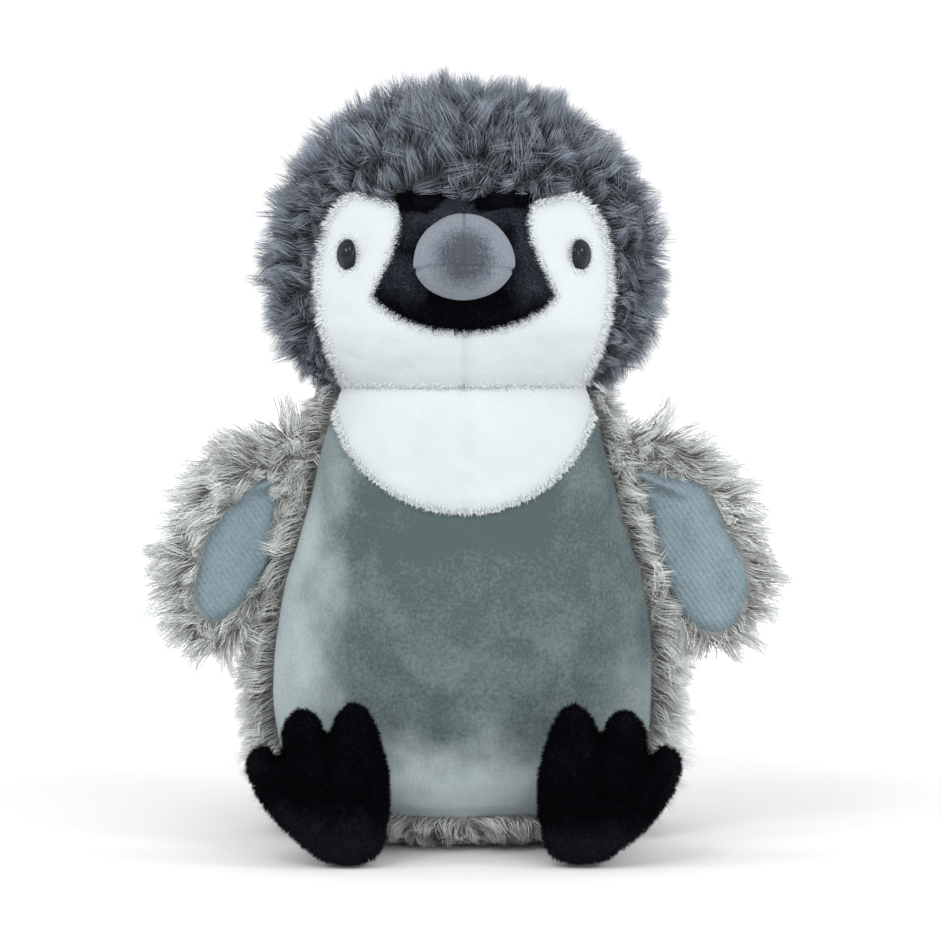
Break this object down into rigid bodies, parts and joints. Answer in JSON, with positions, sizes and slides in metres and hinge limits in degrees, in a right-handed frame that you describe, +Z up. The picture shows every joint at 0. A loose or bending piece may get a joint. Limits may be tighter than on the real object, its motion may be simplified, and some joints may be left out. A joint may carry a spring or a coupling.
{
  "type": "plush penguin",
  "caption": "Sitting plush penguin chick with a long pile hood and back, white face and bib, velour belly, soft beak, lined wings and three-toed feet.",
  "frame": {"origin": "middle of the bounding box in X and Y, on the surface that the toy sits on", "axes": "+Z up, the toy faces -Y, +X towards its own left wing"},
  "size_m": [0.231, 0.1608, 0.292],
  "materials": {
    "taupe_fur": "long curly pile, matted locks",
    "slate_fur": "long dense pile with paler tips",
    "white_plush": "short dense plush",
    "black_plush": "short crushed plush",
    "grey_velour": "brushed velour with a patchy nap",
    "beak_suede": "suede cloth",
    "lining_knit": "short ribbed velour",
    "eye_plastic": "polished",
    "washer_plastic": "moulded",
    "filling": "polyester fibre",
    "pouch_cloth": "plain woven"
  },
  "bodies": {
    "torso": {"belly_panel": "grey_velour", "bib_left": "white_plush", "bib_right": "white_plush", "back_fur_left": "taupe_fur", "back_fur_right": "taupe_fur", "seat_panel": "taupe_fur", "torso_filling": "filling", "pellet_pouch": "pouch_cloth", "leg_sleeve_left": "black_plush", "leg_sleeve_right": "black_plush", "leg_filling_left": "filling", "leg_filling_right": "filling"},
    "neck": {"neck_filling": "filling"},
    "head": {"brow_mask": "black_plush", "cheek_left": "white_plush", "cheek_right": "white_plush", "hood_left": "slate_fur", "hood_right": "slate_fur", "head_filling": "filling", "eye_left": "eye_plastic", "eye_right": "eye_plastic", "eye_washer_left": "washer_plastic", "eye_washer_right": "washer_plastic", "beak_upper_left": "beak_suede", "beak_upper_right": "beak_suede", "beak_lower": "beak_suede", "beak_filling": "filling"},
    "wing_left": {"wing_fur_left": "taupe_fur", "wing_pad_left": "filling", "wing_lining_left": "lining_knit"},
    "wing_right": {"wing_fur_right": "taupe_fur", "wing_pad_right": "filling", "wing_lining_right": "lining_knit"},
    "foot_left": {"foot_instep_left": "black_plush", "foot_filling_left": "filling", "foot_sole_left": "black_plush"},
    "foot_right": {"foot_instep_right": "black_plush", "foot_filling_right": "filling", "foot_sole_right": "black_plush"}
  },
  "joints": [
    {"name": "head_turn", "type": "hinge", "parent": "torso", "child": "neck", "pos_m": [0, 0.005, 0.215], "axis": [0, 0, 1], "range_deg": [-20, 20]},
    {"name": "head_nod", "type": "hinge", "parent": "neck", "child": "head", "pos_m": [0, 0.005, 0.215], "axis": [1, 0, 0], "range_deg": [-8, 10]},
    {"name": "wing_swing_left", "type": "hinge", "parent": "torso", "child": "wing_left", "pos_m": [0.066, -0.002, 0.148], "axis": [-0.1564, -0.9877, 0], "range_deg": [-5, 60]},
    {"name": "wing_swing_right", "type": "hinge", "parent": "torso", "child": "wing_right", "pos_m": [-0.066, -0.002, 0.148], "axis": [-0.1564, 0.9877, 0], "range_deg": [-5, 60]},
    {"name": "foot_tilt_left", "type": "hinge", "parent": "torso", "child": "foot_left", "pos_m": [0.046, -0.0745, 0.011], "axis": [1, 0, 0], "range_deg": [-10, 60]},
    {"name": "foot_tilt_right", "type": "hinge", "parent": "torso", "child": "foot_right", "pos_m": [-0.046, -0.0745, 0.011], "axis": [1, 0, 0], "range_deg": [-10, 60]}
  ]
}
